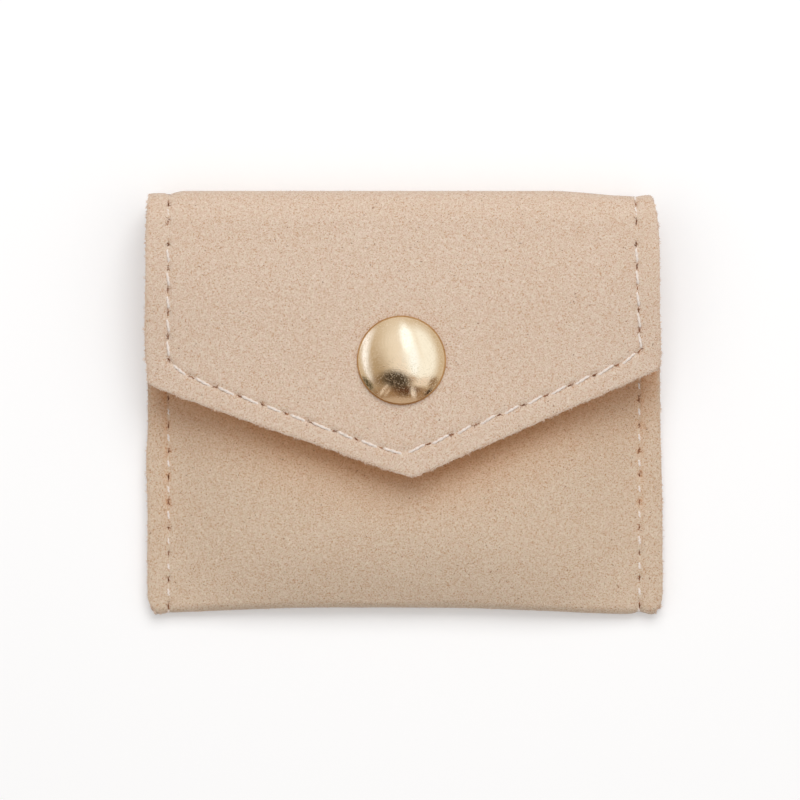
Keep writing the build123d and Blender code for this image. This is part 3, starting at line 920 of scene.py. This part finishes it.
def fuzzLine(placeAt, perLength, length=fuzzLook["length"], lean=fuzzLook["lean"]):
    # placeAt(share) gives a point on the edge and the direction straight out of it
    placed = []
    total = sum((placeAt(k / 40 + 0.025)[0] - placeAt(k / 40)[0]).length for k in range(40))
    for k in range(int(total * perLength)):
        point, out = placeAt(random.random())
        aim = out + Vector([random.gauss(0, lean) for n in range(3)])
        aim.normalize()
        side = aim.orthogonal().normalized()
        spin = Matrix.Rotation(uniform(0, 6.28), 4, "Z")
        thick = uniform(0.06, 0.13) * mm
        tuft = max(0.75 + 1.3 * wander(point.x + point.y, point.y, fuzzLook["tuftSize"], 21), 0.2)
        size = Matrix.Diagonal((thick, thick, length * tuft * uniform(0.35, 1.3), 1))
        root = point - out * 0.04 * mm + side * uniform(-0.02, 0.02) * mm
        placed.append((random.choice(fibreTemplates), basis(root, side, aim) @ spin @ size))
    return placed


def wall(pointAt, ends, rows, outward, depths, lift=0.0):
    # along the sheet's cut wall: a point at some depth, and the way out, lifted towards the face
    def placeAt(share):
        column, row = lerp(*ends, share) * edgeX, lerp(*rows, share)
        depth = (uniform(*depths) if len(depths) > 1 else depths[0]) * mm
        point = pointAt(column, row, depth)
        inside = pointAt(column - outward[0] * 0.3 * mm, row - outward[1] * 0.01, depth)
        face = pointAt(column, row, 0.15 * mm) - pointAt(column, row, 0.6 * mm)
        return point, ((point - inside).normalized() + face.normalized() * lift).normalized()
    return placeAt


def napBetween(pointAt, low, high):
    # anywhere on the outer face between two rows
    def placeAt(share):
        column, row = lerp(-1, 1, share) * edgeX, uniform(low, high)
        point, below = pointAt(column, row, 0.0), pointAt(column, row, 0.5 * mm)
        return point, (point - below).normalized()
    return placeAt


dense, long = fuzzLook["perLength"], fuzzLook["length"]
napLook = (fuzzLook["napLength"], fuzzLook["napLean"])
placed = []
for side in (-1, 1):
    for depth in (0.1, 0.7):
        placed += fuzzLine(wall(bodyPoint, (side, side), (0, 2.95), (side, 0), (depth,), 0.5), dense / 2)
placed += fuzzLine(wall(bodyPoint, (-1, 1), (0, 0), (0, -1), (0, 0.8)), dense)
placed += fuzzLine(napBetween(bodyPoint, 1.2, 1.7), fuzzLook["bottomNap"], *napLook)
fitted(gather("bodyFuzz", placed, paleFibre), "body", "suede")

placed = []
for side in (-1, 1):
    placed += fuzzLine(wall(flapPoint, (side, side), (0.02, 2), (side, 0), (0, 0.5), 0.5), dense)
placed += fuzzLine(wall(flapPoint, (-1, 1), (2, 2), (0, 1), (0, 0.4), 0.5), dense * 1.6, long * 0.85)
fitted(gather("flapFuzz", placed, paleFibre), "flap", "suede")

for k in range(4):
    stops, placed = foldBreaks[k:k + 2], []
    for side in (-1, 1):
        placed += fuzzLine(wall(foldPoint, (side, side), stops, (side, 0), (0, 0.8)), dense)
    placed += fuzzLine(napBetween(foldPoint, *stops), fuzzLook["foldNap"], *napLook)
    fitted(gather(f"foldFuzz{k + 1}", placed, paleFibre), k, "suede")
print("fuzz added")


# the snap fastener, turned about its own axis; radii and steps are in mm

def turned(name, outline, material, segments, rounding=0.06 * mm, closed=True):
    # spins an outline of radius and height round the snap's axis; its first and last points may lie on it
    shape = bmesh.new()
    points = [shape.verts.new((radius, 0, height)) for radius, height in outline]
    edges = [shape.edges.new(pair) for pair in zip(points, points[1:])]
    if closed:
        edges.append(shape.edges.new((points[-1], points[0])))
    bmesh.ops.spin(shape, geom=points + edges, axis=(0, 0, 1), cent=(0, 0, 0), angle=tau,
                   steps=segments, use_merge=True, use_duplicate=False)
    bmesh.ops.remove_doubles(shape, verts=shape.verts[:], dist=0.001 * mm)
    bmesh.ops.recalc_face_normals(shape, faces=shape.faces[:])
    bmesh.ops.translate(shape, verts=shape.verts[:], vec=(0, snapY, 0))
    piece = finished(name, shape, [material], True)
    if rounding:
        adjusted(piece.modifiers.new("softEdges", "BEVEL"), width=rounding, segments=3,
                 limit_method="ANGLE", angle_limit=radians(32))
    return piece


def reachOf(node):
    # the lowest and highest points, and the radius in mm
    return lowOf(node).z, highOf(node).z, highOf(node).x / mm


def outlined(*runs):
    # each run is a height, then radii and steps from that height
    return [(radius * mm, height + step * mm) for height, *points in runs for radius, step in points]


springZ = (lowOf("snap_spring").z + highOf("snap_spring").z) / 2
gripZ = springZ + 0.26 * mm  # top of the spring's chamber, and of the neck it grips

capLook = {
    "crown": 6.13,  # radius of the dome
    "shoulder": 0.06,
    "rim": 0.6,
    "wall": 0.35,
    # painted reflection of the suede on the rolled rim
    "reflectionColour": (0.62, 0.34, 0.13),
    "reflectionDark": (0.42, 0.20, 0.06),
}


def capOutline(look):
    # a dome of one radius with a softened shoulder, standing in a thin rolled rim, hollow below
    low, high, radius = reachOf("snap_cap")
    crown, inner = look["crown"] * mm, (radius - look["wall"]) * mm
    rise, half = high - low - look["rim"] * mm, radius * mm
    dome = (half * half + rise * rise) / (2 * rise)

    def domeZ(x):
        return high - dome + sqrt(dome * dome - x * x)

    outer = [(x, domeZ(x)) for x in spread(0, crown - look["shoulder"] * mm, 26)]
    lastX, lastZ = outer[-1]
    outer += [(lerp(lastX, crown, sin(t)), lerp(low + 0.4 * mm, lastZ, cos(t)))
              for t in spread(0.25, pi / 2, 5)]
    rolled = outlined((low, (look["crown"] + 0.02, 0.32), (radius, 0.33), (radius + 0.05, 0.24),
                       (radius + 0.06, 0.1), (radius + 0.02, 0), (radius - look["wall"], 0.02)))
    return outer + rolled + [(x, domeZ(x) - look["wall"] * mm) for x in spread(inner, 0, 10)]


cap = turned("snapCap", capOutline(capLook), gold, 128, 0, False)
cap.data.materials.append(makeMetal("suedeReflectionRim", capLook["reflectionColour"], capLook["reflectionDark"], 0.35))
# the rolled rim gets its own material: a painted reflection of the suede
for face in cap.data.polygons:
    if hypot(face.center.x, face.center.y - snapY) > (capLook["crown"] + 0.01) * mm:
        face.material_index = 1
fitted(cap, "flap", "snap_gold", "snap_cap")


def snapPart(name, body, node, segments, *runs):
    fitted(turned(name, outlined(*runs), brass, segments), body, "snap_brass", node)


tube = {"bore": 1.0, "radius": 1.3, "wall": 0.3, "roll": 2.0}
bore, tubeRadius, thick, roll = tube.values()
low, high, disc = reachOf("snap_cap_post")
snapPart("capPost", "flap", "snap_cap_post", 64,
         (low, (bore, 0.1), (bore + 0.15, 0), (roll - 0.1, 0), (roll, 0.15), (roll - 0.05, thick),
          (tubeRadius, thick)),
         (high, (tubeRadius, -thick), (disc, -thick), (disc, 0), (bore, 0)))

socketCut = {"bore": 2.75, "web": 0.3, "lip": 0.25, "chamber": 4.57, "taper": 0.9, "hole": 1.35}
well, web, lip, chamber, taper, hole = socketCut.values()
low, high, radius = reachOf("snap_socket")
snapPart("snapSocket", "flap", "snap_socket", 96,
         (high, (hole, 0), (hole, -web), (well, -web)),
         (gripZ, (well, 0), (chamber, 0)),
         (low, (chamber, lip), (well, lip), (well, 0), (well + 0.5, 0), (well + 0.65, 0.1),
          (radius - 0.75, 0.1), (radius - 0.6, 0), (radius - 0.25, 0), (radius, 0.25)),
         (gripZ, (radius, 0)),
         (high, (radius - taper, 0)))

studCut = {"edge": 0.3, "flange": 0.6, "neck": 1.55, "head": 2.1, "shoulder": 0.35, "nose": 0.5, "hole": 1.35}
edge, thick, neck, head, shoulder, nose, hole = studCut.values()
low, high, flange = reachOf("snap_stud")
snapPart("snapStud", "body", "snap_stud", 80,
         (low, (hole, 0), (flange, 0), (flange, edge), (flange - 0.5, 0.42), (neck + 1.6, 0.5),
          (neck + 0.25, thick), (neck, 0.8)),
         (gripZ, (neck, 0), (head, shoulder)),
         (high, (head, -nose), (head - 0.15, -0.2), (head - nose, -0.03), (1.05, 0), (0.85, -0.3), (0, -0.34),
          (0, -0.6), (hole, -0.6)))

low, high, radius = reachOf("snap_stud_post")
snapPart("studPost", "body", "snap_stud_post", 72,
         (low, (bore, 0.12), (bore + 0.25, 0), (radius - 0.4, 0.1), (radius, 0.2)),
         (pocketDepth - strip["sheet"], (radius, 0), (tubeRadius, 0)),
         (high, (tubeRadius, 0), (bore, 0)))

springLook = scaled(reach=2.5, side=1.81, wire=0.2, slit=0.6)


def makeSpring(look):
    # a flattened ring of round wire, open at a slit, its straight sides gripping the stud's neck
    reach, side, wire, slit = look.values()
    straight, bow = 2 * reach, pi * side
    half = straight + bow

    def onPath(run):
        # a quarter turn, a straight and a quarter turn; the other half is the same, turned round
        flip = -1 if run >= half else 1
        run %= half
        bent = min(run, bow / 2) + max(run - bow / 2 - straight, 0)
        centre = reach - min(max(run - bow / 2, 0), straight)
        return flip * Vector((centre + side * cos(bent / side), side * sin(bent / side), 0))

    def onWire(share, turn):
        run = lerp(slit, 2 * half - slit, share)
        ahead = (onPath(run + 0.01 * mm) - onPath(run - 0.01 * mm)).normalized()
        ring = wire * (0.02 if share in (0.0, 1.0) else 1.0)
        middle = onPath(run) + Vector((0, snapY, springZ))
        return middle + ahead.cross(up) * ring * cos(turn) + up * ring * sin(turn)

    return finished("snapSpring", rolledTube(120, onWire, 0.006 * mm), [steel], True)


fitted(makeSpring(springLook), "flap", "spring_wire", "snap_spring")
print("snap turned")


# floor, world, lamps and camera

tableLook = {"colour": (0.885, 0.885, 0.895), "lift": 0.14, "size": 3.0, "below": 0.03 * mm}


def whiteTable(look):
    # a pale table, lifted to white only where the camera or a reflection sees it
    material, tree, coords = newMaterial("whiteTable")
    rays = addNode(tree, "ShaderNodeLightPath")
    seen = calc(tree, "ADD", rays.outputs["Is Camera Ray"], rays.outputs["Is Glossy Ray"])
    return dressed(material, look["colour"], Roughness=0.9, Specular_IOR_Level=0.0, Emission_Color=(1, 1, 1),
                   Emission_Strength=ranged(tree, seen, 0, 1, 0, look["lift"]))


floorShape = bmesh.new()
bmesh.ops.create_grid(floorShape, x_segments=1, y_segments=1, size=tableLook["size"])
bmesh.ops.translate(floorShape, verts=floorShape.verts[:], vec=(0, 0, -tableLook["below"]))
floor = finished("table", floorShape, [whiteTable(tableLook)])

# what the polished cap mirrors: places are across the cap, from -1 to 1 each way
roomLook = {
    "open": (0.7, 0.63, 0.56),
    "light": (1.0, 0.985, 0.965),
    "strengths": (0.23, 0.80),  # from the sides and from above
    "edgeLean": 0.626,  # how far the dome's edge leans, as a sine
    "patches": [
        # place, half size, turn in degrees, softness, colour
        ((-0.545, 0.1), (0.36, 0.62), 3, 0.12, (1.25, 1.42, 1.85)),
        ((-0.315, 0.08), (0.43, 0.8), 4, 0.18, (0.65, 0.58, 0.51)),
        ((-0.52, -0.16), (0.2, 0.34), 0, 0.9, (0.5, 0.42, 0.33)),
        ((-0.04, 0.34), (0.36, 0.56), 8, 0.8, (1.0, 1.02, 1.1)),
        ((0.1, -0.14), (0.26, 0.3), 0, 0.7, (1.0, 1.0, 1.08)),
        ((0.42, 0.13), (0.37, 0.64), 12, 0.26, (1.13, 1.27, 1.5)),
        ((0.11, 0.5), (0.13, 0.32), 14, 0.5, (1.4, 1.7, 2.2)),
        ((0.28, 0.03), (0.1, 0.32), 6, 0.5, (1.2, 1.45, 1.9)),
        ((0.25, -0.43), (0.11, 0.08), 0, 0.7, (0.6, 0.5, 0.45)),
        ((0.37, 0.4), (0.03, 0.34), 18, 0.9, (1.05, 1.08, 1.18)),
        ((0.0, -0.86), (0.86, 0.3), 0, 0.2, (0.36, 0.25, 0.17)),
        ((-0.5, -0.46), (0.14, 0.14), 0, 0.8, (0.29, 0.21, 0.14)),
        ((0.49, -0.48), (0.19, 0.09), 18, 0.6, (0.95, 0.92, 0.98)),
        ((0.72, -0.5), (0.08, 0.14), -30, 0.6, (0.29, 0.2, 0.13)),
        ((0.12, -0.67), (0.3, 0.08), 0, 0.5, (0.14, 0.07, 0.045)),
        ((-0.125, -0.44), (0.33, 0.2), -14, 0.4, (0.08, 0.064, 0.05)),
        ((-0.78, -0.51), (0.07, 0.2), 42, 0.4, (0.1, 0.09, 0.06)),
        ((-0.41, -0.675), (0.03, 0.15), -38, 0.5, (0.95, 0.9, 0.92)),
        ((-0.325, -0.725), (0.024, 0.12), -35, 0.5, (0.8, 0.72, 0.7)),
        ((0.06, -0.77), (0.12, 0.05), 0, 0.6, (0.14, 0.085, 0.05)),
        ((0.27, -0.73), (0.05, 0.14), 15, 0.4, (0.95, 0.95, 1.05)),
        ((0.61, -0.71), (0.03, 0.12), -50, 0.4, (0.03, 0.015, 0.01)),
        ((-0.06, -0.92), (0.5, 0.09), 0, 0.4, (0.6, 0.5, 0.44)),
    ],
}


def roomColour(tree, look, sight):
    # turns a direction into the place on a dome that would mirror it upwards, then lays the patches
    def worked(operation, *values):
        return calc(tree, operation, *values, kind="ShaderNodeVectorMath")

    halfway = worked("NORMALIZE", worked("ADD", sight, (0, 0, 1.0001)))
    flat = worked("MULTIPLY", halfway, (1 / look["edgeLean"], 1 / look["edgeLean"], 0))
    colour = look["open"]
    for place, size, turn, soft, tint in look["patches"]:
        local = addNode(tree, "ShaderNodeMapping", vector_type="TEXTURE", Vector=flat, Location=(*place, 0),
                        Rotation=(0, 0, radians(turn)), Scale=(*size, 1))
        off = worked("LENGTH", local.outputs["Vector"])
        colour = tinted(tree, colour, tint, off, (1 + soft, 1 - soft), 1.0, True)
    return colour


def paleRoom(look):
    # even light, strongest from above, white to the eye, the room in reflections
    world = bpy.data.worlds.new("paleRoom")
    world.use_nodes = True
    tree = world.node_tree
    sight = addNode(tree, "ShaderNodeTexCoord").outputs["Generated"]
    split = addNode(tree, "ShaderNodeSeparateXYZ", Vector=sight)
    room = tree.nodes["Background"]
    feed(tree, look["light"], room.inputs["Color"])
    feed(tree, ranged(tree, split.outputs["Z"], 0, 1, *look["strengths"], True), room.inputs["Strength"])
    mirrored = addNode(tree, "ShaderNodeBackground", Strength=1.0, Color=roomColour(tree, look, sight))
    seen = addNode(tree, "ShaderNodeBackground", Strength=1.0, Color=(1, 1, 1))
    rays = addNode(tree, "ShaderNodeLightPath")
    last = room.outputs[0]
    for ray, shader in (("Is Glossy Ray", mirrored), ("Is Camera Ray", seen)):
        mix = addNode(tree, "ShaderNodeMixShader", Fac=rays.outputs[ray])
        feed(tree, last, mix.inputs[1])
        feed(tree, shader.outputs[0], mix.inputs[2])
        last = mix.outputs[0]
    feed(tree, last, tree.nodes["World Output"].inputs["Surface"])
    return world


bpy.context.scene.world = paleRoom(roomLook)

light = adjusted(bpy.data.lights.new("keyBox", "AREA"), shape="RECTANGLE", size=0.46, size_y=0.42,
                 energy=2.28, color=(1.0, 0.995, 0.985))
lampPlace, lampTarget = Vector((0.065, 0.40, 0.55)), Vector((0, 0, 0.005))
adjusted(linked("keyBox", light), location=lampPlace, rotation_mode="QUATERNION",
         rotation_quaternion=(lampPlace - lampTarget).to_track_quat("Z", "Y"), visible_glossy=False)

view = adjusted(bpy.data.cameras.new("camera"), lens=155.6, sensor_width=36, clip_start=0.01)
camera = adjusted(linked("camera", view), location=inMm(-0.204, 0.287, 500), rotation_euler=(0, 0, 0))
bpy.context.scene.camera = camera
bpy.context.scene.view_settings.view_transform = "Standard"
print("stage set")

for template in [stitchTemplate, holeTemplate] + fibreTemplates:
    bpy.data.meshes.remove(template)
